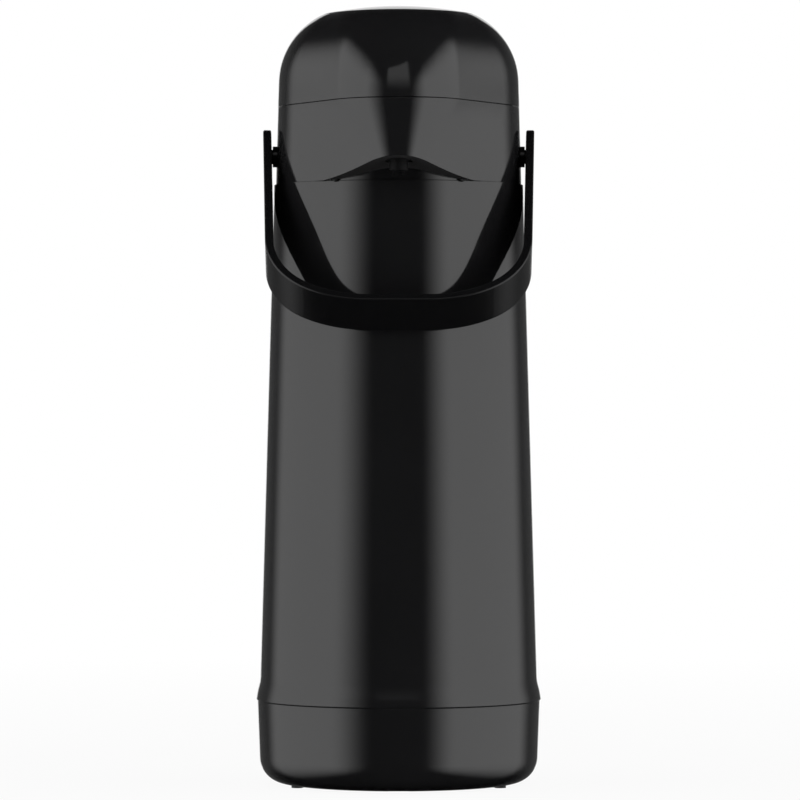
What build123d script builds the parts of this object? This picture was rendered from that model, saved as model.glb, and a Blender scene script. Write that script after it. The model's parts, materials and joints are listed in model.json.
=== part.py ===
from build123d import *
import os
from math import asin, cos, pi, radians, sin, sqrt, tan

# Airpot: a glass vacuum flask in a plastic casing, under a hinged pump lid with a beak.
# Millimetres, +Z up. The origin is on the surface that the feet stand on, under the flask's axis.
# The beak points along -Y, and +X is to the right of someone who faces it.

# Base
foot_height = 1.0
foot_radius = 2.8
foot_inset = 13.3
foot_angle = 65.0
foot_recess = 1.0
base_top = 41.0
base_step = 0.55
base_taper = 1.5
base_edge_round = 12.5
base_wall = 2.6
base_floor = 3.0
base_notch_width = 10.0
base_notch_depth = 1.2
spigot_length = 9.0

# Casing
casing_length = 250.5
casing_top_radius = 60.65
casing_flare = 6.73
casing_rim = 1.95
casing_rim_height = 11.0
casing_rim_edge = 3.6
casing_rim_draft = 0.45
casing_rim_chamfer = 0.6
casing_wall = 2.2

# Head: housing under the parting line, lid above it
housing_height = 37.7
head_step = 0.83
head_taper = 0.026
head_wall = 2.2
head_spigot = 8.0
loft_steps = 5
parting_gap = 0.3
shoulder_rise = 11.65
shoulder_round = 37.0
shoulder_turn = 63.287
beak_reach = 24.83
nose_radius = 33.0
nose_round = 40.0
nose_turn = 54.0
ridge_turn = 74.7
lip_flare = 1.0
lip_drop = 28.2
lip_radius = 18.0
underside_tilt = 9.3
underside_arch = 4.35
underside_arch_half = 36.0
underside_drop = 3.85

# Snap hooks under the beak
hook_offset = 31.3
hook_spacing = 1.3
hook_width = 0.6
hook_drop = 0.4

# Flask
flask_gap = 1.27
flask_drop = 7.5
flask_neck_length = 48.0
flask_shoulder_width = 23.0
flask_base_round = 30.0
flask_shoulder_slope = 3.2
flask_neck_round = 10.0
flask_shoulder_angle = 62.0
flask_tip_radius = 4.0
flask_tip_length = 9.0
glass = 1.5
vacuum_gap = 3.5
spacer_height = 12.0
spacer_rise = 45.0
spacer_span = 12.0
spacer_count = 3
cushion_inset = 11.0
cushion_floor = 16.0
cushion_bore = 10.0
cushion_rise = 8.0

# Mouth
gasket_height = 3.0
gasket_lip = 0.5
gasket_brim = 1.0
collar_margin = 0.85
collar_wall = 2.5
collar_deck = 2.0
lid_gasket_height = 3.3
collar_ledge = 4.5
collar_skirt = 6.0
funnel_height = 6.0

# Tubes
tube_radius = 4.0
tube_bore = 3.0
tube_foot_gap = 5.0
tube_insertion = 8.0
tube_proud = 1.0
socket_wall = 2.0
duct_radius = 4.5
duct_bore = 3.0
duct_rise = 18.4
duct_bend = 9.0
duct_root = 1.0
nozzle_setback = 12.1
nozzle_radius = 4.5
nozzle_wall = 2.0
nozzle_drop = 4.6
nozzle_socket = 3.6
ball_radius = 3.5
flange_thickness = 2.4
air_hole_radius = 4.0
air_hole_circle = 22.0
air_hole_count = 6
grommet_wall = 1.5
grommet_lip = 1.3

# Hinge
hinge_offset = 2.3
knuckle_radius = 4.0
knuckle_half = 9.0
hinge_half = 16.0
hinge_pin_radius = 1.5
gusset_depth = 11.0

# Handle
pivot_rise = 13.9
handle_spare = 21.4
handle_thickness = 4.0
handle_arm_half = 13.1
handle_grip_half = 10.5
handle_gap = 6.32
handle_lean = 1.8
handle_hang = 46.6
handle_grip_round = 58.5
handle_corner_round = 38.0
handle_grip_turn = 30.5
handle_edge = 0.8
boss_radius = 5.1
stud_radius = 3.5
stud_flange_radius = 7.0
stud_flange = 1.6

# Lid and pump
plate_thickness = 2.8
plate_rise = 0.8
opening_rim = 1.1
guide_wall = 2.0
button_clearance = 0.3
button_wall = 2.2
button_crown = 4.0
button_proud = 0.5
button_flange = 2.9
button_flange_height = 2.0
button_stroke = 22.0
bellows_gap = 4.4
bellows_fold = 4.5
bellows_folds = 6
bellows_wall = 0.9
bellows_flange = 1.4
bellows_lip = 1.0
bellows_ring_height = 2.0
bellows_ring_width = 4.0
spring_radius = 14.0
spring_wire = 1.6
spring_turns = 6
seat_width = 8.0
seat_drop = 1.0
valve_radius = 7.5
valve_stem_radius = 2.0
valve_hole_radius = 1.3
valve_hole_circle = 4.8
valve_hole_count = 6
valve_lip = 1.0
valve_tip = 1.5
screw_inset = 4.07
screw_angles = (35.0, 145.0, 195.0, 345.0)
screw_nose_inset = 9.3
screw_boss_radius = 3.6
screw_radius = 1.4
screw_length = 9.0
screw_head_radius = 2.7
screw_head_height = 1.6
catch_half = 6.0
catch_thickness = 2.0
catch_length = 9.0
catch_nub = 1.2
keeper_depth = 2.4
keeper_height = 2.0

# Clearances: fitted pieces, pieces that turn on a pin, pieces that move apart
fit = 0.15
close_fit = 0.02
running = 0.05
moving = 0.3

# Heights that the sizes above lead to
floor_top = foot_height + base_floor
seam = base_top + casing_length
parting = seam + housing_height
shoulder_start = parting + shoulder_rise
lid_top = shoulder_start + shoulder_round * sin(radians(shoulder_turn))
flask_bottom = floor_top + cushion_floor
flask_mouth = seam - flask_drop
flask_shoulder = flask_mouth - flask_neck_length
lid_bottom = parting + parting_gap / 2
housing_top = parting - parting_gap / 2
plate_bottom = parting + plate_rise
plate_top = plate_bottom + plate_thickness
pivot_z = seam + pivot_rise
ridge_start = parting + nose_round * sin(radians(nose_turn))

# Radii and reaches that the sizes above lead to
casing_low_radius = casing_top_radius + casing_flare
casing_rim_radius = casing_low_radius + casing_rim
base_top_radius = casing_rim_radius - base_step
base_low_radius = base_top_radius - base_taper
head_low_radius = casing_top_radius - head_step
nose_reach = casing_top_radius + beak_reach
lip_reach = nose_reach + lip_flare
ridge_round = (lid_top - ridge_start) / (sin(radians(ridge_turn)) - sin(radians(nose_turn)))
flask_radius = casing_top_radius - casing_wall - flask_gap
flask_neck_radius = flask_radius - flask_shoulder_width


def side_radius(z):
    """Radius of the head's round sides at a height."""
    if z <= shoulder_start:
        return head_low_radius - head_taper * (z - seam)
    core = head_low_radius - head_taper * (shoulder_start - seam) - shoulder_round
    return core + sqrt(shoulder_round**2 - (z - shoulder_start) ** 2)


def nose_distance(z):
    """Distance from the axis to the front of the beak at a height."""
    if z <= parting:
        gain = lip_reach - nose_reach
        lean = (lip_drop**2 + gain**2) / (2 * gain)
        return nose_reach + lean - sqrt(lean**2 - (parting - z) ** 2)
    if z <= ridge_start:
        return nose_reach - nose_round + sqrt(nose_round**2 - (z - parting) ** 2)
    turn = radians(nose_turn)
    ridge_z = ridge_start - ridge_round * sin(turn)
    ridge_y = nose_reach - nose_round + (nose_round - ridge_round) * cos(turn)
    return ridge_y + sqrt(ridge_round**2 - (z - ridge_z) ** 2)


def beak_radius(z):
    """Plan radius of the beak's front at a height."""
    if z >= parting:
        return nose_radius
    return nose_radius - (nose_radius - lip_radius) * (parting - z) / lip_drop


def side_inset(z):
    """Horizontal wall of the head's sides that keeps the wall's true thickness."""
    rise = max(0, z - shoulder_start)
    return head_wall / cos(asin(rise / shoulder_round))


def nose_inset(z):
    """Horizontal wall at the ridge that keeps the wall's true thickness."""
    if z <= ridge_start:
        return head_wall / cos(asin(max(0, z - parting) / nose_round))
    ridge_z = ridge_start - ridge_round * sin(radians(nose_turn))
    return head_wall / cos(asin((z - ridge_z) / ridge_round))


def head_section(z, hollow=False, clearance=0):
    """Draw the head's plan at a height: a circle with flanks that run to a rounded nose."""
    inset = (side_inset(z) if hollow else 0) + clearance
    front = (nose_inset(z) if hollow else 0) + clearance
    radius = side_radius(z) - inset
    tip = beak_radius(z) - (head_wall if hollow else 0) - clearance
    nose = nose_distance(z) - front
    lean = asin((radius - tip) / (nose - tip))
    flank = (radius * cos(lean), -radius * sin(lean))
    cheek = (tip * cos(lean), tip - nose - tip * sin(lean))
    with BuildSketch(Plane.XY.offset(z)) as section:
        with BuildLine():
            ThreePointArc(flank, (radius * cos(pi / 4), radius * sin(pi / 4)), (0, radius))
            ThreePointArc((0, radius), (-radius * cos(pi / 4), radius * sin(pi / 4)), (-flank[0], flank[1]))
            Line((-flank[0], flank[1]), (-cheek[0], cheek[1]))
            ThreePointArc((-cheek[0], cheek[1]), (0, -nose), cheek)
            Line(cheek, flank)
        make_face()
    return section.sketch


def flask_outline(inset, mouth):
    """Draw half of the flask's section, from the axis to a wall that lies inset from the outside."""
    radius = flask_radius - inset
    neck = flask_neck_radius - inset
    turn = radians(flask_shoulder_angle)
    rounds = (flask_shoulder_width - flask_shoulder_slope * sin(turn)) / (1 - cos(turn))
    flask_bulge = rounds - flask_neck_round - inset
    corner = flask_base_round - inset
    shoulder = (radius, flask_shoulder)
    with BuildSketch(Plane.XZ) as outline:
        with BuildLine():
            Line((0, flask_bottom + inset), (radius - corner, flask_bottom + inset))
            base = JernArc((radius - corner, flask_bottom + inset), (1, 0), corner, 90)
            Line(base @ 1, shoulder)
            bulge = JernArc(shoulder, (0, 1), flask_bulge, flask_shoulder_angle)
            straight = Line(bulge @ 1, bulge @ 1 + (bulge % 1) * flask_shoulder_slope)
            hollow = JernArc(straight @ 1, bulge % 1, flask_neck_round + inset, -flask_shoulder_angle)
            Line(hollow @ 1, (neck, mouth))
            Line((neck, mouth), (0, mouth))
            Line((0, mouth), (0, flask_bottom + inset))
        make_face()
    return outline.sketch


def finish(builder, name):
    """Name a finished piece and write it."""
    builder.part.label = name
    export_step(builder.part, f"parts/{name}.step")


os.makedirs("parts", exist_ok=True)

# Base cup: the bottom of the casing, with a spigot that the casing slides over
casing_bore = casing_low_radius - casing_wall
spigot_radius = casing_bore - fit
foot_circle = base_low_radius - foot_inset
cushion_radius = flask_radius - cushion_inset
foot_x = foot_circle * sin(radians(foot_angle))
foot_y = foot_circle * cos(radians(foot_angle))
feet = [(side * foot_x, front * foot_y) for side in (-1, 1) for front in (-1, 1)]

with BuildPart() as base_cup:
    with BuildSketch(Plane.XZ):
        with BuildLine():
            Polyline(
                (0, foot_height),
                (base_low_radius, foot_height),
                (base_top_radius, base_top),
                (spigot_radius, base_top),
                (spigot_radius, base_top + spigot_length),
                (spigot_radius - base_wall, base_top + spigot_length),
                (spigot_radius - base_wall, base_top - base_wall),
                (base_low_radius - base_wall, floor_top + base_edge_round),
                (base_low_radius - base_edge_round, floor_top),
                (0, floor_top),
                close=True,
            )
        make_face()
    revolve(axis=Axis.Z)
    fillet(base_cup.edges().group_by(Axis.Z)[0], base_edge_round)
    with BuildSketch(Plane.XY.offset(floor_top - moving)):
        Circle(cushion_radius + fit + base_wall)
        Circle(cushion_radius + fit, mode=Mode.SUBTRACT)
    extrude(amount=base_edge_round)
    with BuildSketch(Plane.XY.offset(foot_height)):
        with Locations(*feet):
            Circle(foot_radius + fit)
    extrude(amount=foot_recess, mode=Mode.SUBTRACT)
    with BuildSketch(Plane.XY.offset(foot_height)):
        with Locations((0, -base_low_radius)):
            Rectangle(base_notch_width, 2 * base_edge_round)
    extrude(amount=base_notch_depth, mode=Mode.SUBTRACT)
finish(base_cup, "base_cup")

# Feet: four pads in recesses of the base
with BuildPart() as base_feet:
    with BuildSketch():
        with Locations(*feet):
            Circle(foot_radius)
    extrude(amount=foot_height + foot_recess)
finish(base_feet, "base_feet")

# Casing: a tapered tube with a flared rim at the bottom
with BuildPart() as outer_casing:
    rim_top = base_top + casing_rim_height
    rim_corner = (casing_rim_radius - casing_rim_chamfer, base_top)
    rim_shoulder = (casing_rim_radius - casing_rim_draft, base_top + casing_rim_edge)
    rim_lean = (-casing_rim_draft, casing_rim_edge)
    casing_lean = (casing_top_radius - casing_low_radius, seam - rim_top)
    with BuildSketch(Plane.XZ):
        with BuildLine():
            Line((casing_bore, base_top), rim_corner)
            Line(rim_corner, (casing_rim_radius, base_top + casing_rim_chamfer))
            Line((casing_rim_radius, base_top + casing_rim_chamfer), rim_shoulder)
            Spline(
                rim_shoulder,
                (casing_low_radius, rim_top),
                tangents=(rim_lean, casing_lean),
            )
            Line((casing_low_radius, rim_top), (casing_top_radius, seam))
            Line((casing_top_radius, seam), (casing_top_radius - casing_wall, seam))
            Line((casing_top_radius - casing_wall, seam), (casing_bore, rim_top))
            Line((casing_bore, rim_top), (casing_bore, base_top))
        make_face()
    revolve(axis=Axis.Z)
finish(outer_casing, "outer_casing")

# Flask: an outer and an inner glass, fused at the mouth on the real flask
with BuildPart() as liner_outer_glass:
    revolve(flask_outline(0, flask_mouth), axis=Axis.Z)
    revolve(flask_outline(glass, flask_mouth - glass), axis=Axis.Z, mode=Mode.SUBTRACT)
    with BuildSketch(Plane.XY.offset(flask_mouth - glass)):
        Circle(flask_neck_radius - glass - vacuum_gap)
    extrude(amount=glass, mode=Mode.SUBTRACT)
    with BuildSketch(Plane.XZ):
        tip_root = (flask_tip_radius, flask_bottom + glass / 2)
        tip_end = (0, flask_bottom - flask_tip_length)
        with BuildLine():
            Line((0, flask_bottom + glass / 2), tip_root)
            Spline(tip_root, tip_end, tangents=((-flask_tip_radius, -flask_tip_length), (-1, 0)))
            Line(tip_end, (0, flask_bottom + glass / 2))
        make_face()
    revolve(axis=Axis.Z)
finish(liner_outer_glass, "liner_outer_glass")

inner_glass = glass + vacuum_gap
with BuildPart() as liner_inner_glass:
    revolve(flask_outline(inner_glass, flask_mouth), axis=Axis.Z)
    revolve(flask_outline(inner_glass + glass, flask_mouth), axis=Axis.Z, mode=Mode.SUBTRACT)
finish(liner_inner_glass, "liner_inner_glass")

# Spacer pads that hold the two glasses apart
with BuildPart() as liner_spacers:
    for turn in range(spacer_count):
        with BuildSketch(Plane.XZ.rotated((0, 0, turn * 360 / spacer_count))):
            with Locations((flask_radius - glass - vacuum_gap / 2, flask_bottom + spacer_rise)):
                Rectangle(vacuum_gap - 2 * close_fit, spacer_height)
        revolve(axis=Axis.Z, revolution_arc=spacer_span)
finish(liner_spacers, "liner_spacers")

# Cushion: rubber seat that the flask stands in, open round the flask's tip
with BuildPart() as base_cushion:
    with BuildSketch(Plane.XZ):
        with BuildLine():
            Polyline(
                (cushion_bore, floor_top),
                (cushion_radius, floor_top),
                (cushion_radius, flask_bottom + cushion_rise),
                (cushion_bore, flask_bottom + cushion_rise),
                close=True,
            )
        make_face()
    revolve(axis=Axis.Z)
    revolve(flask_outline(-close_fit, flask_mouth), axis=Axis.Z, mode=Mode.SUBTRACT)
finish(base_cushion, "base_cushion")

# Mouth gasket: rubber ring on the flask's lip
gasket_bore = flask_neck_radius - glass - vacuum_gap - gasket_lip
gasket_top = flask_mouth + gasket_height
with BuildPart() as mouth_gasket:
    with BuildSketch(Plane.XY.offset(flask_mouth)):
        Circle(flask_neck_radius + gasket_brim)
        Circle(gasket_bore, mode=Mode.SUBTRACT)
    extrude(amount=gasket_height)
finish(mouth_gasket, "mouth_gasket")

# Collar: deck and fill mouth under the lid, pressed on the gasket
deck_bottom = seam + collar_wall
deck_top = deck_bottom + collar_deck
collar_top = plate_bottom - lid_gasket_height - moving
skirt_bore = flask_neck_radius + gasket_brim + fit
collar_bore = skirt_bore + collar_margin
collar_outer = collar_bore + collar_wall
duct_z = deck_top + duct_rise
grommet_hole = duct_radius + grommet_wall
keeper_bottom = plate_bottom - catch_length + catch_nub + moving
with BuildPart() as mouth_collar:
    with BuildSketch(Plane.XZ):
        with BuildLine():
            Polyline(
                (collar_bore - collar_ledge, deck_top),
                (gasket_bore, deck_top - funnel_height),
                (gasket_bore, gasket_top),
                (skirt_bore, gasket_top),
                (skirt_bore, gasket_top - collar_skirt),
                (skirt_bore + head_wall, gasket_top - collar_skirt),
                (skirt_bore + head_wall, deck_bottom),
                (side_radius(deck_top) - head_wall - fit, deck_bottom),
                (side_radius(deck_top) - head_wall - fit, deck_top),
                (collar_outer, deck_top),
                (collar_outer, collar_top),
                (collar_bore, collar_top),
                (collar_bore, deck_top),
                close=True,
            )
        make_face()
    revolve(axis=Axis.Z)
    with BuildSketch(Plane.XZ.offset(collar_bore - collar_wall)):
        with Locations((0, duct_z)):
            Circle(grommet_hole + close_fit)
    extrude(amount=3 * collar_wall, mode=Mode.SUBTRACT)
    with BuildSketch(Plane.XY.offset(keeper_bottom)):
        with Locations((0, -collar_outer - keeper_depth / 2 + collar_wall / 4)):
            Rectangle(2 * catch_half, keeper_depth + collar_wall / 2)
    extrude(amount=keeper_height)
finish(mouth_collar, "mouth_collar")

# Space inside the head housing, under the parting line
hinge_y = side_radius(parting) + hinge_offset
nozzle_reach = lip_reach - nozzle_setback
underside_z = seam - underside_drop
slant = Plane(
    origin=(0, 0, underside_z),
    x_dir=(1, 0, 0),
    z_dir=(0, -cos(radians(underside_tilt)), sin(radians(underside_tilt))),
)


def underside(rise):
    """Draw what lies under the beak's arched underside, raised by rise."""
    half = underside_arch_half
    low = rise - underside_arch
    side = 2 * lip_reach
    with BuildSketch(slant) as region:
        with BuildLine():
            Line((-side, -side), (side, -side))
            Line((side, -side), (side, low))
            Line((side, low), (half, low))
            Spline((half, low), (0, rise), (-half, low), tangents=((-1, 0), (-1, 0)))
            Line((-half, low), (-side, low))
            Line((-side, low), (-side, -side))
        make_face()
    return region.sketch


def levels(low, high):
    """Heights of a loft's sections from low to high."""
    return [low + (high - low) * step / loft_steps for step in range(loft_steps + 1)]


with BuildPart() as housing_space:
    loft([head_section(z, hollow=True) for z in levels(deck_bottom, housing_top)])
    extrude(underside(head_wall), amount=2 * lip_reach, mode=Mode.SUBTRACT)
    with BuildSketch(Plane.XZ):
        with BuildLine():
            Polyline(
                (0, seam - head_spigot),
                (casing_top_radius - 2 * casing_wall - fit, seam - head_spigot),
                (casing_top_radius - 2 * casing_wall - fit, deck_bottom),
                (side_radius(deck_bottom) - head_wall, deck_bottom),
                (side_radius(housing_top) - head_wall, housing_top),
                (0, housing_top),
                close=True,
            )
        make_face()
    revolve(axis=Axis.Z)

# Head housing: ring and beak under the parting line, with the hinge's ears and the handle's bosses
with BuildPart() as head_housing:
    loft([head_section(z) for z in levels(seam, housing_top)])
    extrude(underside(0), amount=2 * lip_reach, mode=Mode.SUBTRACT)
    with BuildSketch(Plane.XZ):
        with BuildLine():
            Polyline(
                (0, seam - head_spigot),
                (casing_top_radius - casing_wall - fit, seam - head_spigot),
                (casing_top_radius - casing_wall - fit, seam),
                (head_low_radius, seam),
                (side_radius(housing_top), housing_top),
                (0, housing_top),
                close=True,
            )
        make_face()
    revolve(axis=Axis.Z)
    for side in (-1, 1):
        near = side * (knuckle_half + moving)
        with BuildSketch(Plane.YZ.offset(near)):
            with BuildLine():
                Polyline(
                    (hinge_y - hinge_offset - 3 * head_wall, parting - gusset_depth),
                    (side_radius(parting - gusset_depth) - head_wall / 2, parting - gusset_depth),
                    (hinge_y + knuckle_radius, parting),
                    (hinge_y, parting),
                    (hinge_y, housing_top),
                    (hinge_y - hinge_offset - 3 * head_wall, housing_top),
                    close=True,
                )
            make_face()
            with Locations((hinge_y, parting)):
                Circle(knuckle_radius)
        extrude(amount=side * (hinge_half - knuckle_half - moving))
    add(housing_space.part, mode=Mode.SUBTRACT)
    with BuildSketch(Plane.YZ):
        with Locations((hinge_y, parting)):
            Circle(knuckle_radius + moving)
    extrude(amount=knuckle_half + moving, both=True, mode=Mode.SUBTRACT)
    with BuildSketch(Plane.YZ):
        with Locations((hinge_y, parting)):
            Circle(hinge_pin_radius + close_fit)
    extrude(amount=hinge_half - head_wall / 2, both=True, mode=Mode.SUBTRACT)
    with BuildSketch(Plane.YZ):
        with Locations((0, pivot_z)):
            Circle(boss_radius + close_fit)
    extrude(amount=2 * head_low_radius, both=True, mode=Mode.SUBTRACT)
    with BuildSketch(Plane.XY.offset(seam)):
        with Locations((0, -nozzle_reach)):
            Circle(duct_radius + nozzle_wall + close_fit)
    extrude(amount=lip_drop / 2, mode=Mode.SUBTRACT)
    hook_inner = hook_offset - hook_spacing - hook_width / 2
    hook_front = sqrt((casing_top_radius + moving) ** 2 - hook_inner**2) + fit
    with BuildSketch(Plane.XY.offset(seam - hook_drop)):
        for side in (-1, 1):
            for step in (-1, 0, 1):
                with Locations((side * hook_offset + step * hook_spacing, -hook_front - hook_width)):
                    Rectangle(hook_width, 2 * hook_width)
    extrude(amount=hook_drop + head_wall)
finish(head_housing, "head_housing")

# Tube flange: disc that holds the tubes in the mouth and lets air past
with BuildPart() as tube_flange:
    with BuildSketch(Plane.XY.offset(deck_top)):
        Circle(collar_bore - fit)
        Circle(tube_radius + socket_wall + close_fit, mode=Mode.SUBTRACT)
        with PolarLocations(air_hole_circle, air_hole_count):
            Circle(air_hole_radius, mode=Mode.SUBTRACT)
    extrude(amount=flange_thickness)
finish(tube_flange, "tube_flange")

# Dip tube: from the flask's floor to the spout duct
tube_top = deck_top + flange_thickness + tube_proud
tube_bottom = flask_bottom + glass + vacuum_gap + glass + tube_foot_gap
with BuildPart() as dip_tube:
    with BuildSketch(Plane.XY.offset(tube_bottom)):
        Circle(tube_radius)
        Circle(tube_bore, mode=Mode.SUBTRACT)
    extrude(amount=tube_top - tube_bottom)
    with BuildSketch(Plane.XZ):
        with Locations((0, tube_bottom)):
            Rectangle(tube_bore, tube_radius)
    extrude(amount=2 * tube_radius, both=True, mode=Mode.SUBTRACT)
finish(dip_tube, "dip_tube")

# Spout duct: socket over the dip tube with a ball chamber, then a bent tube to the nozzle
socket_radius = tube_radius + socket_wall
bend_start = duct_z - duct_bend
nozzle_bottom = underside_z + nozzle_reach * tan(radians(underside_tilt)) - nozzle_drop
duct_end = bend_start - nozzle_socket
with BuildLine(Plane.YZ) as duct_path:
    Line((0, bend_start - duct_root), (0, bend_start))
    JernArc((0, bend_start), (0, 1), duct_bend, 90)
    Line((-duct_bend, duct_z), (duct_bend - nozzle_reach, duct_z))
    JernArc((duct_bend - nozzle_reach, duct_z), (-1, 0), duct_bend, 90)
    Line((-nozzle_reach, bend_start), (-nozzle_reach, duct_end))

with BuildPart() as spout_duct:
    with BuildSketch(Plane.XY.offset(tube_top - tube_insertion)):
        Circle(socket_radius)
    extrude(amount=bend_start + duct_root - tube_top + tube_insertion)
    with BuildSketch(Plane.XY.offset(deck_top + flange_thickness)):
        Circle(socket_radius + 1.5 * socket_wall)
    extrude(amount=socket_wall / 2)
    with BuildSketch(Plane.XY.offset(bend_start - duct_root)):
        Circle(duct_radius)
    sweep(path=duct_path.line)
    with BuildSketch(Plane.XY.offset(bend_start - duct_root)):
        Circle(duct_bore)
    sweep(path=duct_path.line, mode=Mode.SUBTRACT)
    with BuildSketch(Plane.XY.offset(tube_top - tube_insertion)):
        Circle(tube_radius + close_fit)
    extrude(amount=bend_start - duct_root / 2 - tube_top + tube_insertion, mode=Mode.SUBTRACT)
finish(spout_duct, "spout_duct")

# Valve ball: rests on the dip tube's rim and closes the duct when the pot tips over
with BuildPart() as valve_ball:
    with Locations((0, 0, tube_top + sqrt(ball_radius**2 - tube_bore**2) + close_fit)):
        Sphere(ball_radius)
finish(valve_ball, "valve_ball")

# Grommet: rubber seal round the duct in the collar's wall
with BuildPart() as duct_grommet:
    lip_radius_outer = grommet_hole + grommet_lip
    inner_face = sqrt(collar_bore**2 - lip_radius_outer**2) - close_fit
    outer_face = collar_outer + close_fit
    with BuildSketch(Plane.XZ.offset(inner_face - grommet_lip)):
        with Locations((0, duct_z)):
            Circle(grommet_hole)
    extrude(amount=outer_face - inner_face + 2 * grommet_lip)
    for start in (inner_face - grommet_lip, outer_face):
        with BuildSketch(Plane.XZ.offset(start)):
            with Locations((0, duct_z)):
                Circle(lip_radius_outer)
        extrude(amount=grommet_lip)
    with BuildSketch(Plane.XZ.offset(inner_face - grommet_lip)):
        with Locations((0, duct_z)):
            Circle(duct_radius + close_fit)
    extrude(amount=outer_face - inner_face + 2 * grommet_lip, mode=Mode.SUBTRACT)
finish(duct_grommet, "duct_grommet")

# Nozzle: the mouthpiece that shows under the beak
with BuildPart() as spout_nozzle:
    with BuildSketch(Plane.XY.offset(nozzle_bottom)):
        with Locations((0, -nozzle_reach)):
            Circle(nozzle_radius)
    extrude(amount=duct_end - nozzle_bottom)
    with BuildSketch(Plane.XY.offset(duct_end - nozzle_wall)):
        with Locations((0, -nozzle_reach)):
            Circle(duct_radius + nozzle_wall)
    extrude(amount=nozzle_wall + nozzle_socket)
    with BuildSketch(Plane.XY.offset(nozzle_bottom)):
        with Locations((0, -nozzle_reach)):
            Circle(duct_bore)
    extrude(amount=duct_end - nozzle_bottom, mode=Mode.SUBTRACT)
    with BuildSketch(Plane.XY.offset(duct_end)):
        with Locations((0, -nozzle_reach)):
            Circle(duct_radius + close_fit)
    extrude(amount=nozzle_socket, mode=Mode.SUBTRACT)
finish(spout_nozzle, "spout_nozzle")

# Hinge pin: held in the housing's ears, turning in the lid's knuckle
with BuildPart() as hinge_pin:
    with BuildSketch(Plane.YZ):
        with Locations((hinge_y, parting)):
            Circle(hinge_pin_radius)
    extrude(amount=hinge_half - head_wall / 2 - close_fit, both=True)
finish(hinge_pin, "hinge_pin")

# Pivot studs: bosses through the housing's sides that carry the handle
handle_outer = side_radius(pivot_z) + handle_gap
handle_reach = lip_reach + handle_spare
stud_wall = side_radius(pivot_z + stud_flange_radius) - head_wall
stud_inner = sqrt(stud_wall**2 - stud_flange_radius**2) - close_fit
arm_inner = handle_outer - handle_thickness / cos(radians(handle_lean))
boss_end = arm_inner - boss_radius * tan(radians(handle_lean)) - moving
bore_end = handle_outer - handle_thickness / 4
for side, name in ((-1, "pivot_stud_left"), (1, "pivot_stud_right")):
    with BuildPart() as pivot_stud:
        for start, end, radius in (
            (stud_inner - stud_flange, stud_inner, stud_flange_radius),
            (stud_inner, boss_end, boss_radius),
            (boss_end, bore_end - moving, stud_radius),
        ):
            with BuildSketch(Plane.YZ.offset(side * start)):
                with Locations((0, pivot_z)):
                    Circle(radius)
            extrude(amount=side * (end - start))
    finish(pivot_stud, name)

# Handle: a flat strip bent into a bail, hanging forward below the beak
hang = radians(handle_hang)
handle_side = Plane(origin=(0, 0, pivot_z), x_dir=(0, -cos(hang), -sin(hang)), z_dir=(1, 0, 0))
handle_face = Plane(origin=(0, 0, pivot_z), x_dir=(1, 0, 0), z_dir=(0, sin(hang), -cos(hang)))
grip_turn = radians(handle_grip_turn)
arm_turn = radians(90 - handle_lean)
corner_end = (
    handle_reach
    - handle_grip_round * (1 - cos(grip_turn))
    - handle_corner_round * (cos(grip_turn) - cos(arm_turn))
)
handle_flat = (
    handle_outer
    - corner_end * tan(radians(handle_lean))
    - handle_grip_round * sin(grip_turn)
    - handle_corner_round * (sin(arm_turn) - sin(grip_turn))
)


def handle_outline(inset):
    """Draw what lies inside the handle's outer face, drawn in by inset."""
    reach = handle_reach - inset
    below = 2 * handle_arm_half
    ends = []
    with BuildSketch(handle_face.offset(-below)) as region:
        with BuildLine():
            Line((-handle_flat, reach), (handle_flat, reach))
            for side in (-1, 1):
                start = (side * handle_flat, reach)
                grip = JernArc(start, (side, 0), handle_grip_round - inset, -side * handle_grip_turn)
                bend = 90 - handle_lean - handle_grip_turn
                corner = JernArc(grip @ 1, grip % 1, handle_corner_round - inset, -side * bend)
                length = ((corner @ 1).Y + below) / cos(radians(handle_lean))
                arm = Line(corner @ 1, corner @ 1 + (corner % 1) * length)
                ends.append(arm @ 1)
            Line(ends[0], ends[1])
        make_face()
    return region.sketch


with BuildPart() as bail_handle:
    extrude(handle_outline(0), amount=4 * handle_arm_half)
    extrude(handle_outline(handle_thickness), amount=4 * handle_arm_half, mode=Mode.SUBTRACT)
    with BuildSketch(handle_side):
        taper = asin((handle_arm_half - handle_grip_half) / handle_reach)
        arm = (handle_arm_half * sin(taper), handle_arm_half * cos(taper))
        far = (handle_reach + 1, arm[1] - (handle_reach + 1 - arm[0]) * tan(taper))
        with BuildLine():
            ThreePointArc(arm, (-handle_arm_half, 0), (arm[0], -arm[1]))
            Line((arm[0], -arm[1]), (far[0], -far[1]))
            Line((far[0], -far[1]), far)
            Line(far, arm)
        make_face()
    extrude(amount=handle_outer + handle_thickness, both=True, mode=Mode.INTERSECT)
    fillet(bail_handle.edges(), handle_edge)
    for side in (-1, 1):
        with BuildSketch(Plane.YZ.offset(side * bore_end)):
            with Locations((0, pivot_z)):
                Circle(stud_radius + running)
        extrude(amount=-side * handle_thickness, mode=Mode.SUBTRACT)
finish(bail_handle, "bail_handle")

# Opening for the push button
opening_radius = side_radius(lid_top) - opening_rim
button_radius = opening_radius - button_clearance
guide_outer = opening_radius + guide_wall
button_edge = lid_top + button_proud
button_bottom = plate_top + button_stroke + moving
guide_bottom = button_bottom + button_flange_height + moving
screw_circle = side_radius(parting) - head_wall - screw_inset
screw_front = nose_reach - screw_nose_inset
screw_spots = [
    (screw_circle * cos(radians(angle)), screw_circle * sin(radians(angle))) for angle in screw_angles
] + [(0, -screw_front)]

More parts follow.
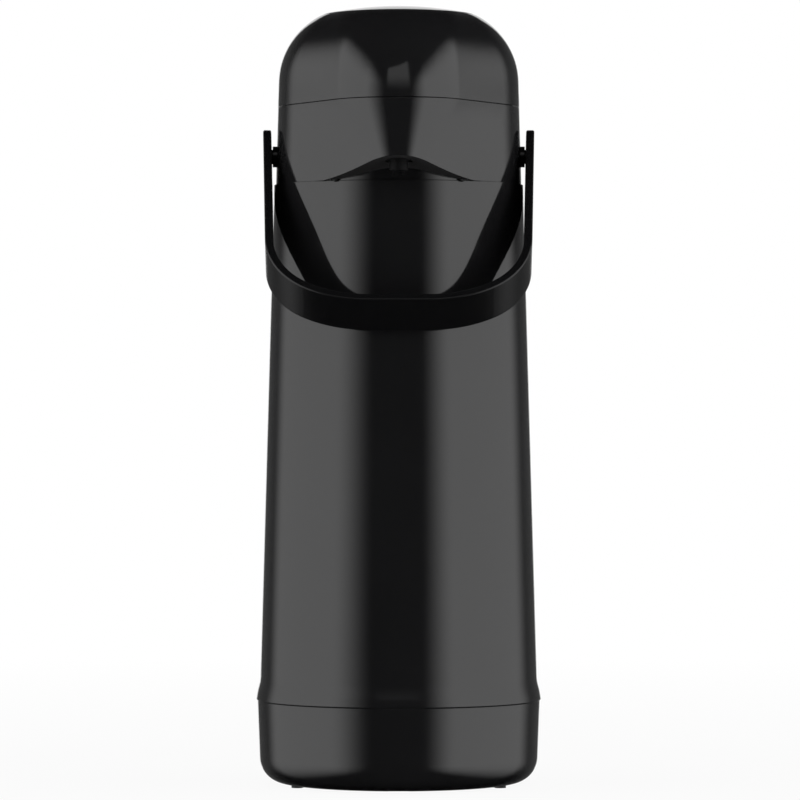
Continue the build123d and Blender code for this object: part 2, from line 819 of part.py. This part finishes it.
# Space inside the lid, round the button's guide and the screw bosses
shoulder_angles = (12.0, 24.0, 36.0, 46.0)
space_angle = 54.0
lid_levels = [lid_bottom, (lid_bottom + shoulder_start) / 2, shoulder_start] + [
    shoulder_start + shoulder_round * sin(radians(angle)) for angle in shoulder_angles
]
space_top = shoulder_start + shoulder_round * sin(radians(space_angle))
with BuildPart() as lid_space:
    loft([head_section(z, hollow=True) for z in lid_levels + [space_top]])
    with BuildSketch(Plane.XY.offset(guide_bottom)):
        Circle(guide_outer)
    extrude(amount=lid_top - guide_bottom, mode=Mode.SUBTRACT)
    with BuildSketch(Plane.XY.offset(plate_top)):
        with Locations(*screw_spots):
            Circle(screw_boss_radius)
    extrude(amount=lid_top - plate_top, mode=Mode.SUBTRACT)

# Lid shell: the top of the head with the upper half of the beak
with BuildPart() as lid_shell:
    loft([head_section(z) for z in lid_levels + [(lid_levels[-1] + lid_top) / 2, lid_top]])
    with BuildSketch(Plane.YZ):
        with Locations((hinge_y, parting)):
            Circle(knuckle_radius + moving)
    extrude(amount=hinge_half + moving, both=True, mode=Mode.SUBTRACT)
    with BuildSketch(Plane.YZ):
        with BuildLine():
            Polyline(
                (hinge_y - hinge_offset - 3 * head_wall, lid_bottom),
                (hinge_y + knuckle_radius - parting_gap, lid_bottom),
                (side_radius(parting + gusset_depth) - head_wall / 2, parting + gusset_depth),
                (hinge_y - hinge_offset - 3 * head_wall, parting + gusset_depth),
                close=True,
            )
        make_face()
        with Locations((hinge_y, parting)):
            Circle(knuckle_radius)
    extrude(amount=knuckle_half, both=True)
    add(lid_space.part, mode=Mode.SUBTRACT)
    with BuildSketch(Plane.XY.offset(guide_bottom)):
        Circle(opening_radius)
    extrude(amount=lid_top, mode=Mode.SUBTRACT)
    with BuildSketch(Plane.YZ):
        with Locations((hinge_y, parting)):
            Circle(hinge_pin_radius + running)
    extrude(amount=hinge_half, both=True, mode=Mode.SUBTRACT)
    with BuildSketch(Plane.XY.offset(plate_top)):
        with Locations(*screw_spots):
            Circle(screw_radius + close_fit)
    extrude(amount=screw_length, mode=Mode.SUBTRACT)
finish(lid_shell, "lid_shell")

# Lid plate: closes the lid from below and carries the pump
with BuildPart() as lid_plate:
    loft([head_section(z, hollow=True, clearance=fit) for z in (plate_bottom, plate_top)])
    with BuildSketch(Plane.XY.offset(plate_bottom)):
        Circle(valve_stem_radius + close_fit)
        with PolarLocations(valve_hole_circle, valve_hole_count):
            Circle(valve_hole_radius)
        with Locations(*screw_spots):
            Circle(screw_radius + fit)
    extrude(amount=plate_thickness, mode=Mode.SUBTRACT)
    with BuildSketch(Plane.XY.offset(plate_bottom)):
        with Locations(*screw_spots):
            Circle(screw_head_radius + fit)
    extrude(amount=screw_head_height, mode=Mode.SUBTRACT)
finish(lid_plate, "lid_plate")

# Screws that hold the plate to the lid's bosses
with BuildPart() as lid_screws:
    with BuildSketch(Plane.XY.offset(plate_bottom)):
        with Locations(*screw_spots):
            Circle(screw_head_radius)
    extrude(amount=screw_head_height)
    with BuildSketch(Plane.XY.offset(plate_bottom + screw_head_height)):
        with Locations(*screw_spots):
            Circle(screw_radius)
    extrude(amount=screw_length)
finish(lid_screws, "lid_screws")

# Lid gasket: rubber ring over the collar's rim
with BuildPart() as lid_gasket:
    with BuildSketch(Plane.XY.offset(collar_top + moving)):
        Circle(collar_outer + gasket_lip)
        Circle(collar_bore - gasket_lip, mode=Mode.SUBTRACT)
    extrude(amount=plate_bottom - collar_top - moving)
finish(lid_gasket, "lid_gasket")

# Snap tongue at the front of the plate, with a nub under the collar's keeper
tongue_y = collar_outer + keeper_depth + moving + catch_nub
with BuildPart() as lid_catch:
    with BuildSketch(Plane.YZ):
        with BuildLine():
            Polyline(
                (-tongue_y, plate_bottom),
                (-tongue_y - catch_thickness, plate_bottom),
                (-tongue_y - catch_thickness, plate_bottom - catch_length),
                (-tongue_y, plate_bottom - catch_length),
                (-tongue_y + catch_nub, plate_bottom - catch_length + catch_nub / 2),
                (-tongue_y + catch_nub, plate_bottom - catch_length + catch_nub),
                (-tongue_y, plate_bottom - catch_length + 2 * catch_nub),
                close=True,
            )
        make_face()
    extrude(amount=catch_half - moving, both=True)
finish(lid_catch, "lid_catch")

# Air valve: rubber flap under the plate's air holes, with a stem through the plate
with BuildPart() as air_valve:
    with BuildSketch(Plane.XZ):
        with BuildLine():
            Polyline(
                (0, plate_bottom - plate_rise),
                (valve_radius, plate_bottom - plate_rise / 2),
                (valve_radius, plate_bottom),
                (valve_stem_radius, plate_bottom),
                (valve_stem_radius, plate_top),
                (valve_stem_radius + valve_lip, plate_top),
                (valve_stem_radius, plate_top + valve_tip),
                (0, plate_top + valve_tip),
                close=True,
            )
        make_face()
    revolve(axis=Axis.Z)
finish(air_valve, "air_valve")

# Push button: a domed cap with a skirt that slides in the lid's guide
crown_radius = (button_radius**2 + button_crown**2) / (2 * button_crown)
crown_top = button_edge + button_crown


def crown(radius, inset):
    """Height of the button's dome, or of a surface inset under it, at a distance from the axis."""
    return crown_top - crown_radius + sqrt((crown_radius - inset) ** 2 - radius**2)


button_bore = button_radius - button_wall
bellows_outer = button_bore - bellows_gap
bellows_inner = bellows_outer - bellows_fold
seat_z = button_edge - button_wall - seat_drop
with BuildPart() as push_button:
    with BuildSketch(Plane.XZ):
        with BuildLine():
            ThreePointArc(
                (0, crown_top), (button_radius / 2, crown(button_radius / 2, 0)), (button_radius, button_edge)
            )
            Line((button_radius, button_edge), (button_radius, button_bottom + button_flange_height))
            Line(
                (button_radius, button_bottom + button_flange_height),
                (button_radius + button_flange, button_bottom + button_flange_height),
            )
            Line(
                (button_radius + button_flange, button_bottom + button_flange_height),
                (button_radius + button_flange, button_bottom),
            )
            Line((button_radius + button_flange, button_bottom), (button_bore, button_bottom))
            Line((button_bore, button_bottom), (button_bore, crown(button_bore, button_wall)))
            ThreePointArc(
                (button_bore, crown(button_bore, button_wall)),
                (button_bore / 2, crown(button_bore / 2, button_wall)),
                (0, crown_top - button_wall),
            )
            Line((0, crown_top - button_wall), (0, crown_top))
        make_face()
    revolve(axis=Axis.Z)
    for outer, inner in (
        (bellows_outer + bellows_lip, bellows_inner - bellows_lip),
        (spring_radius + seat_width / 2, spring_radius - seat_width / 2),
    ):
        with BuildSketch(Plane.XY.offset(seat_z)):
            Circle(outer)
            Circle(inner, mode=Mode.SUBTRACT)
        extrude(amount=crown(outer, button_wall / 2) - seat_z)
finish(push_button, "push_button")

# Bellows: folded rubber tube between the plate and the button
bellows_low = plate_top + bellows_flange
bellows_high = seat_z - bellows_flange
pitch = (bellows_high - bellows_low) / bellows_folds
folds = []
for turn in range(bellows_folds):
    folds.append((bellows_inner + bellows_wall, bellows_low + turn * pitch))
    folds.append((bellows_outer, bellows_low + (turn + 0.5) * pitch))
folds.append((bellows_inner + bellows_wall, bellows_high))
brim = bellows_outer + bellows_ring_width - bellows_lip
with BuildPart() as bellows:
    with BuildSketch(Plane.XZ):
        with BuildLine():
            Polyline(*folds)
            Line(folds[-1], (bellows_outer, bellows_high))
            Line((bellows_outer, bellows_high), (bellows_outer, seat_z))
            Line((bellows_outer, seat_z), (bellows_inner - bellows_lip, seat_z))
            Line((bellows_inner - bellows_lip, seat_z), (bellows_inner - bellows_lip, bellows_high))
            Line((bellows_inner - bellows_lip, bellows_high), (bellows_inner, bellows_high))
            Polyline(*[(radius - bellows_wall, z) for radius, z in reversed(folds)])
            Line((bellows_inner, bellows_low), (bellows_inner - bellows_lip, bellows_low))
            Line((bellows_inner - bellows_lip, bellows_low), (bellows_inner - bellows_lip, plate_top))
            Line((bellows_inner - bellows_lip, plate_top), (brim, plate_top))
            Line((brim, plate_top), (brim, bellows_low))
            Line((brim, bellows_low), folds[0])
        make_face()
    revolve(axis=Axis.Z)
finish(bellows, "bellows")

# Ring that clamps the bellows to the plate
with BuildPart() as bellows_ring:
    with BuildSketch(Plane.XY.offset(bellows_low)):
        Circle(bellows_outer + bellows_ring_width)
        Circle(bellows_outer + bellows_lip, mode=Mode.SUBTRACT)
    extrude(amount=bellows_ring_height)
finish(bellows_ring, "bellows_ring")

# Return spring inside the bellows
spring_bottom = plate_top + spring_wire / 2 + close_fit
spring_height = seat_z - plate_top - spring_wire - 2 * close_fit
with BuildPart() as return_spring:
    with BuildLine() as coil:
        Helix(
            pitch=spring_height / spring_turns,
            height=spring_height,
            radius=spring_radius,
            center=(0, 0, spring_bottom),
        )
    with BuildSketch(Plane(origin=coil.line @ 0, z_dir=coil.line % 0)):
        Circle(spring_wire / 2)
    sweep(path=coil.line, is_frenet=True)
finish(return_spring, "return_spring")
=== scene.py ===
import json
from math import cos, pi, radians, sin, sqrt, tan

import bpy
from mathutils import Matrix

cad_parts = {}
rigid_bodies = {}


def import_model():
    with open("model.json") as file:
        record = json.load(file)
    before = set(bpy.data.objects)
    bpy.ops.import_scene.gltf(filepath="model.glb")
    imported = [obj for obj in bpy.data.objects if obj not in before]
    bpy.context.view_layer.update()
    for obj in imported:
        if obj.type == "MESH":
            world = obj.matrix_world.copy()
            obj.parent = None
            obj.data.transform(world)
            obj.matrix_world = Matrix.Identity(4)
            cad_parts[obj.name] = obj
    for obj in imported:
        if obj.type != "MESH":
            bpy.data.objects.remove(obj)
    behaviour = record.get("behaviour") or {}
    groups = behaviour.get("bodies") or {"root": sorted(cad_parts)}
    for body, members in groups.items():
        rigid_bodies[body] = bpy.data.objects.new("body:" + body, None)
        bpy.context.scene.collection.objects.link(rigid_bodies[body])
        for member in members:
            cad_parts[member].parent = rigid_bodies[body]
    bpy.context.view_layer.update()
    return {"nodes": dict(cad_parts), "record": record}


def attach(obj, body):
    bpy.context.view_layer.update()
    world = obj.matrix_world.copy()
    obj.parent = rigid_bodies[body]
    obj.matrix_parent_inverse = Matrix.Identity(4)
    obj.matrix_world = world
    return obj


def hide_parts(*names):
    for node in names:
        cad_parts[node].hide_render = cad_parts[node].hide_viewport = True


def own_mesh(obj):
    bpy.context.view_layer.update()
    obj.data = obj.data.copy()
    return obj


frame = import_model()
nodes = frame["nodes"]
subparts = frame["record"]["subparts"]
joints = frame["record"]["behaviour"]["joints"]

# Viewpoint of the photograph, in metres: frame_width is what the picture spans at the object's axis
camera_distance = 2.245
camera_height = 0.187
camera_side = 0.00063
frame_width = 0.3898
sensor_width_mm = 36.0
nearest_seen = 0.05
farthest_seen = 60.0

# Studio dome, in metres
studio_radius = 3.0
studio_height = 0.19
turn_steps = 180
rise_steps = 90

# Tall softboxes, where light eases in or out between the two values of a pair: azimuths in degrees from
# the camera's side, and heights as tan(elevation) / sin(azimuth), whose sine is kept off zero
least_sine = 0.01
mirrored_light = 0.081
left_front = (21.0, 57.5)
left_back = (117.0, 137.5)
right_front = (18.5, 47.5)
right_back = (114.0, 136.0)
light_foot = (-1.35, -0.1)
light_top = (0.56, 1.45)

# Softbox above the camera, in degrees: its top edge rises by top_slant for each degree of azimuth
top_left = (-22.0, -17.0)
top_right = (16.0, 21.0)
top_rise = (12.0, 36.0)
top_edge = 48.0
top_edge_blur = 2.0
top_slant = 0.24
top_strength = 0.7

# Dim room behind the softboxes, and the window straight behind the object, in degrees
room_light = 0.1
room_from = (112.0, 135.0)
room_top = (12.0, 40.0)
window_from = 164.0
window_low = -14.0
window_high = 24.0

# Overhead light, in metres and watts
overhead_height = 2.2
overhead_width = 1.6
overhead_power = 11.0

# Floor, in metres: its own white grows from floor_white at floor_near to full at floor_far
floor_reach = 8.0
floor_near = 0.25
floor_far = 1.1
floor_white = 0.93
floor_color = (0.86, 0.86, 0.86)

# World, as its strength on the object
dim_world = 0.03

# Values shared by the materials: noise_span is what a noise texture mostly fills, and edge_span is the dot
# product of the rounded and the plain normal, from flat to edge
plastic_ior = 1.5
edge_samples = 6
noise_span = (0.3, 0.7)
edge_span = (0.98, 0.8)


def link(tree, source, target):
    """Join an output socket to an input socket."""
    tree.links.new(source, target)


def new_material(name, uniform):
    """Return a fresh material, its node tree and its shader with the values that are uniform over it."""
    material = bpy.data.materials.new(name)
    material.use_nodes = True
    tree = material.node_tree
    shader = tree.nodes["Principled BSDF"]
    for socket, value in uniform.items():
        shader.inputs[socket].default_value = value
    return material, tree, shader


def noise(tree, scale, detail=3.0, roughness=0.5, distortion=0.0, stretch=None):
    """Return a noise over object coordinates, drawn out into lines where stretch is given."""
    coordinates = tree.nodes.new("ShaderNodeTexCoord").outputs["Object"]
    if stretch:
        mapping = tree.nodes.new("ShaderNodeMapping")
        mapping.inputs["Scale"].default_value = stretch
        link(tree, coordinates, mapping.inputs["Vector"])
        coordinates = mapping.outputs["Vector"]
    texture = tree.nodes.new("ShaderNodeTexNoise")
    texture.inputs["Scale"].default_value = scale
    texture.inputs["Detail"].default_value = detail
    texture.inputs["Roughness"].default_value = roughness
    texture.inputs["Distortion"].default_value = distortion
    link(tree, coordinates, texture.inputs["Vector"])
    return texture.outputs["Fac"]


def ramp(tree, source, span, ends=(0.0, 1.0)):
    """Map a value from the span to the ends, and hold it there beyond them."""
    mapping = tree.nodes.new("ShaderNodeMapRange")
    mapping.inputs["From Min"].default_value = span[0]
    mapping.inputs["From Max"].default_value = span[1]
    mapping.inputs["To Min"].default_value = ends[0]
    mapping.inputs["To Max"].default_value = ends[1]
    link(tree, source, mapping.inputs["Value"])
    return mapping.outputs["Result"]


def combine(tree, operation, first, second):
    """Join two values with a sum or another operation."""
    node = tree.nodes.new("ShaderNodeMath")
    node.operation = operation
    link(tree, first, node.inputs[0])
    link(tree, second, node.inputs[1])
    return node.outputs["Value"]


def scaled(tree, mask, most):
    """Bring a mask down from 0..1 to 0..most."""
    return ramp(tree, mask, (0.0, 1.0), (0.0, most))


def paint(tree, shader, share, first, second):
    """Colour the surface between two colours."""
    mix = tree.nodes.new("ShaderNodeMix")
    mix.data_type = "RGBA"
    mix.inputs["A"].default_value = (*first, 1)
    mix.inputs["B"].default_value = (*second, 1)
    link(tree, share, mix.inputs["Factor"])
    link(tree, mix.outputs["Result"], shader.inputs["Base Color"])


def bump(tree, shader, height, distance, normal=None):
    """Drive the shader's normal with a height, over another normal where one is given."""
    node = tree.nodes.new("ShaderNodeBump")
    node.inputs["Distance"].default_value = distance
    link(tree, height, node.inputs["Height"])
    if normal:
        link(tree, normal, node.inputs["Normal"])
    link(tree, node.outputs["Normal"], shader.inputs["Normal"])


def rounded_edges(tree, radius):
    """Return a normal that rounds sharp edges, and a mask of where it does."""
    soft = tree.nodes.new("ShaderNodeBevel")
    soft.samples = edge_samples
    soft.inputs["Radius"].default_value = radius
    geometry = tree.nodes.new("ShaderNodeNewGeometry")
    match = tree.nodes.new("ShaderNodeVectorMath")
    match.operation = "DOT_PRODUCT"
    link(tree, soft.outputs["Normal"], match.inputs[0])
    link(tree, geometry.outputs["Normal"], match.inputs[1])
    return soft.outputs["Normal"], ramp(tree, match.outputs["Value"], edge_span)


def facing_down(tree, span, most):
    """Return a mask of the faces that look down, by the height of their normal."""
    geometry = tree.nodes.new("ShaderNodeNewGeometry")
    parts = tree.nodes.new("ShaderNodeSeparateXYZ")
    link(tree, geometry.outputs["Normal"], parts.inputs["Vector"])
    return ramp(tree, parts.outputs["Z"], span, (0.0, most))


def gloss_black(name="gloss_black", matt_below=False):
    """Polished black moulded plastic: deep gloss, faint smudges, hairline scratches, worn edges."""
    material, tree, shader = new_material(name, {"IOR": plastic_ior})
    normal, edge = rounded_edges(tree, radius=0.0004)
    cloud = ramp(tree, noise(tree, scale=14.0, detail=4.0), noise_span, (0.0, 0.35))
    share = combine(tree, "ADD", cloud, scaled(tree, edge, most=0.6))
    paint(tree, shader, share, (0.0105, 0.0105, 0.011), (0.016, 0.016, 0.017))
    smudge = noise(tree, scale=30.0, detail=6.0, roughness=0.62, distortion=0.4)
    film = ramp(tree, smudge, (0.4, 0.75), (0.065, 0.1))
    lines = noise(tree, scale=90.0, detail=2.0, stretch=(14.0, 14.0, 0.6))
    scratches = ramp(tree, lines, (0.66, 0.8), (0.0, 0.05))
    rough = combine(tree, "ADD", film, scaled(tree, edge, most=0.08))
    rough = combine(tree, "ADD", rough, scratches)
    if matt_below:
        rough = combine(tree, "ADD", rough, facing_down(tree, span=(-0.6, -0.9), most=0.8))
    link(tree, rough, shader.inputs["Roughness"])
    bump(tree, shader, noise(tree, scale=180.0, detail=2.0), 0.000002, normal)
    return material


def nozzle_black():
    """Dull black of the spout's mouthpiece: a fine grain in colour, gloss and height."""
    material, tree, shader = new_material("nozzle_black", {"Specular IOR Level": 0.1})
    grain = noise(tree, scale=500.0, detail=4.0)
    paint(tree, shader, grain, (0.004, 0.004, 0.0042), (0.008, 0.008, 0.0084))
    link(tree, ramp(tree, grain, noise_span, (0.5, 0.65)), shader.inputs["Roughness"])
    bump(tree, shader, grain, 0.00001)
    return material


def handle_black():
    """Satin black plastic of the handle and its studs: fine grain, rubbed smoother on the edges."""
    material, tree, shader = new_material("handle_black", {"Specular IOR Level": 0.32})
    normal, edge = rounded_edges(tree, radius=0.0006)
    tint = noise(tree, scale=22.0, detail=4.0)
    paint(tree, shader, tint, (0.0042, 0.0042, 0.0045), (0.0075, 0.0075, 0.008))
    smudge = noise(tree, scale=40.0, detail=6.0, roughness=0.6, distortion=0.5)
    film = ramp(tree, smudge, (0.35, 0.75), (0.19, 0.25))
    rough = combine(tree, "SUBTRACT", film, scaled(tree, edge, most=0.08))
    link(tree, rough, shader.inputs["Roughness"])
    bump(tree, shader, noise(tree, scale=1400.0, detail=2.0), 0.000006, normal)
    return material


def rubber_dark():
    """Matt black rubber of the feet and the cushion: powdery, with a coarse skin."""
    material, tree, shader = new_material("rubber_dark", {})
    dust = noise(tree, scale=60.0, detail=6.0, roughness=0.65)
    paint(tree, shader, dust, (0.012, 0.012, 0.012), (0.035, 0.034, 0.033))
    link(tree, ramp(tree, dust, noise_span, (0.55, 0.8)), shader.inputs["Roughness"])
    bump(tree, shader, noise(tree, scale=900.0), 0.00004)
    return material


def rubber_pale():
    """Pale silicone of the seals, valve and bellows: waxy, with light falling a little into it."""
    waxy = {
        "Subsurface Weight": 0.15,
        "Subsurface Radius": (1.0, 0.9, 0.8),
        "Subsurface Scale": 0.0015,
    }
    material, tree, shader = new_material("rubber_pale", waxy)
    cloud = noise(tree, scale=35.0, detail=5.0)
    paint(tree, shader, cloud, (0.56, 0.55, 0.52), (0.66, 0.65, 0.62))
    link(tree, ramp(tree, cloud, noise_span, (0.38, 0.55)), shader.inputs["Roughness"])
    bump(tree, shader, noise(tree, scale=700.0), 0.00002)
    return material


def inner_plastic():
    """Fine matt black plastic inside the head: eroded grain, lighter where it is rubbed."""
    material, tree, shader = new_material("inner_plastic", {})
    normal, edge = rounded_edges(tree, radius=0.0003)
    tint = noise(tree, scale=25.0, detail=5.0)
    cloud = ramp(tree, tint, noise_span, (0.0, 0.5))
    share = combine(tree, "ADD", cloud, scaled(tree, edge, most=0.5))
    paint(tree, shader, share, (0.018, 0.018, 0.019), (0.04, 0.04, 0.042))
    link(tree, ramp(tree, tint, noise_span, (0.34, 0.48)), shader.inputs["Roughness"])
    bump(tree, shader, noise(tree, scale=1600.0), 0.00003, normal)
    return material


def tube_plastic():
    """Natural milky plastic of the tubes: light passes a little, with soft flow marks."""
    material, tree, shader = new_material("tube_plastic", {"Transmission Weight": 0.25})
    flow = noise(tree, scale=40.0, detail=4.0, distortion=1.2)
    paint(tree, shader, flow, (0.7, 0.71, 0.69), (0.82, 0.82, 0.8))
    link(tree, ramp(tree, flow, noise_span, (0.22, 0.36)), shader.inputs["Roughness"])
    bump(tree, shader, flow, 0.00004)
    return material


def silvered_glass():
    """Vacuum flask glass with its silver coat: a mirror with slight waves and grey blooms."""
    mirror = {"Metallic": 1.0, "Coat Weight": 0.6, "Coat Roughness": 0.02}
    material, tree, shader = new_material("silvered_glass", mirror)
    bloom = noise(tree, scale=18.0, detail=6.0, roughness=0.6)
    grey = ramp(tree, bloom, (0.45, 0.75))
    paint(tree, shader, grey, (0.86, 0.87, 0.86), (0.66, 0.67, 0.67))
    link(tree, ramp(tree, bloom, (0.4, 0.75), (0.05, 0.16)), shader.inputs["Roughness"])
    bump(tree, shader, noise(tree, scale=28.0, detail=1.0), 0.0003)
    return material


def spacer_felt():
    """Pressed fibre pads between the two glasses: cream, fuzzy, with fibres on the surface."""
    material, tree, shader = new_material("spacer_felt", {"Sheen Weight": 0.4, "Roughness": 0.95})
    fibre = noise(tree, scale=1200.0, detail=5.0, roughness=0.7, distortion=2.0)
    paint(tree, shader, fibre, (0.6, 0.56, 0.48), (0.8, 0.77, 0.7))
    bump(tree, shader, fibre, 0.0003)
    return material


def bright_steel():
    """Drawn stainless wire and pin: bright, with fine drawing lines."""
    material, tree, shader = new_material("bright_steel", {"Metallic": 1.0, "Anisotropic": 0.4})
    lines = noise(tree, scale=260.0, detail=2.0, stretch=(1.0, 1.0, 8.0))
    paint(tree, shader, lines, (0.5, 0.5, 0.5), (0.66, 0.66, 0.65))
    link(tree, ramp(tree, lines, noise_span, (0.18, 0.34)), shader.inputs["Roughness"])
    bump(tree, shader, lines, 0.00001)
    return material


def finish_nodes():
    """Give every CAD node its slot's material, and two of them one of their own."""
    finishes = {
        "gloss_black": gloss_black(),
        "handle_black": handle_black(),
        "rubber_dark": rubber_dark(),
        "rubber_pale": rubber_pale(),
        "inner_plastic": inner_plastic(),
        "tube_plastic": tube_plastic(),
        "silvered_glass": silvered_glass(),
        "spacer_felt": spacer_felt(),
        "bright_steel": bright_steel(),
    }
    chosen = {part["node"]: finishes[part["material_slot"]] for part in subparts}
    chosen["spout_nozzle"] = nozzle_black()
    chosen["head_housing"] = gloss_black("head_black", matt_below=True)
    for name, material in chosen.items():
        nodes[name].data.materials.clear()
        nodes[name].data.materials.append(material)


def shortening(name, joint):
    """Stand in for a node that a sliding joint presses together: a copy of its mesh, held by the joint's
    parent body, while the node itself is hidden.
    """
    piece = bpy.data.objects.new(f"{name}_soft", nodes[name].data.copy())
    bpy.context.scene.collection.objects.link(piece)
    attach(piece, joint["parent"])
    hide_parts(name)
    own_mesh(piece)


def shorten_nodes():
    """Make a shortening piece for each node that the record calls deforming."""
    for joint in joints:
        for part in joint.get("deforming_nodes", []):
            shortening(part["node"], joint)


def camera():
    """Stand the camera at the photograph's viewpoint, level, straight in front of the beak."""
    data = bpy.data.cameras.new("camera")
    data.sensor_width = sensor_width_mm
    data.lens = sensor_width_mm * camera_distance / frame_width
    data.clip_start = nearest_seen
    data.clip_end = farthest_seen
    view = bpy.data.objects.new("camera", data)
    view.location = (camera_side, -camera_distance, camera_height)
    view.rotation_euler = (pi / 2, 0, 0)
    bpy.context.scene.collection.objects.link(view)
    bpy.context.scene.camera = view


def panel(name, rows, material, skip=None):
    """Add a stage surface from a grid of points, less the cells that skip names."""
    verts = [p for row in rows for p in row]
    width = len(rows[0])
    faces = []
    for i in range(len(rows) - 1):
        for j in range(width - 1):
            if skip and skip(i, j):
                continue
            a = i * width + j
            faces.append((a, a + 1, a + width + 1, a + width))
    mesh = bpy.data.meshes.new(name)
    mesh.from_pydata(verts, [], faces)
    mesh.materials.append(material)
    piece = bpy.data.objects.new(name, mesh)
    bpy.context.scene.collection.objects.link(piece)
    return piece


def light_material():
    """Light of the studio's softboxes: the strength at each point is in the glow attribute."""
    material = bpy.data.materials.new("softbox_light")
    material.use_nodes = True
    tree = material.node_tree
    tree.nodes.clear()
    out = tree.nodes.new("ShaderNodeOutputMaterial")
    emission = tree.nodes.new("ShaderNodeEmission")
    attribute = tree.nodes.new("ShaderNodeAttribute")
    attribute.attribute_name = "glow"
    link(tree, attribute.outputs["Fac"], emission.inputs["Strength"])
    link(tree, emission.outputs["Emission"], out.inputs["Surface"])
    return material


def smooth(x, low, high):
    """Ease from 0 at low to 1 at high."""
    t = min(1.0, max(0.0, (x - low) / (high - low)))
    return t * t * (3 - 2 * t)


def mirror_share(azimuth, elevation):
    """Share of light that plastic mirrors towards the camera from this direction, by Fresnel's formula."""
    double = cos(radians(azimuth)) * cos(radians(elevation))
    facing = sqrt(max(0.0, (1 + double) / 2))
    g = sqrt(plastic_ior**2 - 1 + facing**2)
    a = (g - facing) / (g + facing)
    b = (facing * (g + facing) - 1) / (facing * (g - facing) + 1)
    return a * a * (1 + b * b) / 2


def side_light(azimuth, elevation):
    """Tall softboxes left and right: dimmer where the plastic mirrors more, as graded cloth would be."""
    front, back = (left_front, left_back) if azimuth < 0 else (right_front, right_back)
    turn = abs(azimuth)
    across = smooth(turn, *front) * (1 - smooth(turn, *back))
    slope = tan(radians(elevation)) / max(least_sine, sin(radians(turn)))
    up = smooth(slope, *light_foot) * (1 - smooth(slope, *light_top))
    return mirrored_light / mirror_share(azimuth, elevation) * across * up


def top_light(azimuth, elevation):
    """Small softbox above the camera."""
    across = smooth(azimuth, *top_left) * (1 - smooth(azimuth, *top_right))
    edge = top_edge + top_slant * max(top_left[0], min(top_right[1], azimuth))
    up = smooth(elevation, *top_rise) * (1 - smooth(elevation, edge, edge + top_edge_blur))
    return top_strength * across * up


def back_light(azimuth, elevation):
    """Dim light from the room behind the softboxes."""
    return room_light * smooth(abs(azimuth), *room_from) * (1 - smooth(abs(elevation), *room_top))


def studio():
    """Ring of softboxes round the object, dark between them and open straight behind it."""
    turns = [-180 + 360 * i / turn_steps for i in range(turn_steps + 1)]
    rises = [-90 + 180 * i / rise_steps for i in range(rise_steps + 1)]
    rows = []
    glow = []
    for elevation in rises:
        e = radians(elevation)
        row = []
        for azimuth in turns:
            a = radians(azimuth)
            reach = studio_radius * cos(e)
            row.append((reach * sin(a), -reach * cos(a), studio_height + studio_radius * sin(e)))
            light = side_light(azimuth, elevation) + top_light(azimuth, elevation)
            glow.append(light + back_light(azimuth, elevation))
        rows.append(row)

    def window(i, j):
        return min(abs(turns[j]), abs(turns[j + 1])) > window_from and window_low < rises[i] < window_high

    dome = panel("studio", rows, light_material(), window)
    dome.visible_camera = False
    values = dome.data.attributes.new("glow", "FLOAT", "POINT")
    values.data.foreach_set("value", glow)


def overhead_light():
    """Broad soft light from above for the pale inner pieces; the gloss doesn't mirror it."""
    data = bpy.data.lights.new("overhead", "AREA")
    data.shape = "DISK"
    data.size = overhead_width
    data.energy = overhead_power
    lamp = bpy.data.objects.new("overhead", data)
    lamp.location = (0, 0, overhead_height)
    lamp.visible_glossy = False
    bpy.context.scene.collection.objects.link(lamp)


def mixed(tree, share, first, second):
    """Return a mix of two shaders."""
    mix = tree.nodes.new("ShaderNodeMixShader")
    link(tree, share, mix.inputs["Fac"])
    link(tree, first, mix.inputs[1])
    link(tree, second, mix.inputs[2])
    return mix.outputs["Shader"]


def floor():
    """Pale floor that keeps the object's shadow and runs out to plain white."""
    matt = {"Base Color": (*floor_color, 1), "Roughness": 0.9, "Specular IOR Level": 0.0}
    material, tree, shader = new_material("floor", matt)
    coordinates = tree.nodes.new("ShaderNodeTexCoord")
    distance = tree.nodes.new("ShaderNodeVectorMath")
    distance.operation = "LENGTH"
    link(tree, coordinates.outputs["Object"], distance.inputs[0])
    cover = ramp(tree, distance.outputs["Value"], (floor_near, floor_far), (floor_white, 1.0))
    path = tree.nodes.new("ShaderNodeLightPath")
    share = combine(tree, "MULTIPLY", path.outputs["Is Camera Ray"], cover)
    white = tree.nodes.new("ShaderNodeEmission")
    surface = mixed(tree, share, shader.outputs["BSDF"], white.outputs["Emission"])
    link(tree, surface, tree.nodes["Material Output"].inputs["Surface"])
    ends = (-floor_reach, floor_reach)
    ground = panel("floor", [[(x, y, 0.0) for x in ends] for y in ends], material)
    ground.visible_glossy = False


def background(tree, level):
    """Return a grey background of one strength."""
    node = tree.nodes.new("ShaderNodeBackground")
    node.inputs["Color"].default_value = (level, level, level, 1)
    return node.outputs["Background"]


def world():
    """White room to the camera, in reflections and through glass, dim to the rest."""
    room = bpy.data.worlds.new("room")
    bpy.context.scene.world = room
    room.use_nodes = True
    tree = room.node_tree
    tree.nodes.clear()
    path = tree.nodes.new("ShaderNodeLightPath")
    seen = path.outputs["Is Camera Ray"]
    for ray in ("Is Glossy Ray", "Is Transmission Ray"):
        seen = combine(tree, "MAXIMUM", seen, path.outputs[ray])
    out = tree.nodes.new("ShaderNodeOutputWorld")
    surface = mixed(tree, seen, background(tree, dim_world), background(tree, 1.0))
    link(tree, surface, out.inputs["Surface"])


finish_nodes()
shorten_nodes()
camera()
studio()
overhead_light()
floor()
world()
bpy.context.scene.view_settings.view_transform = "Standard"
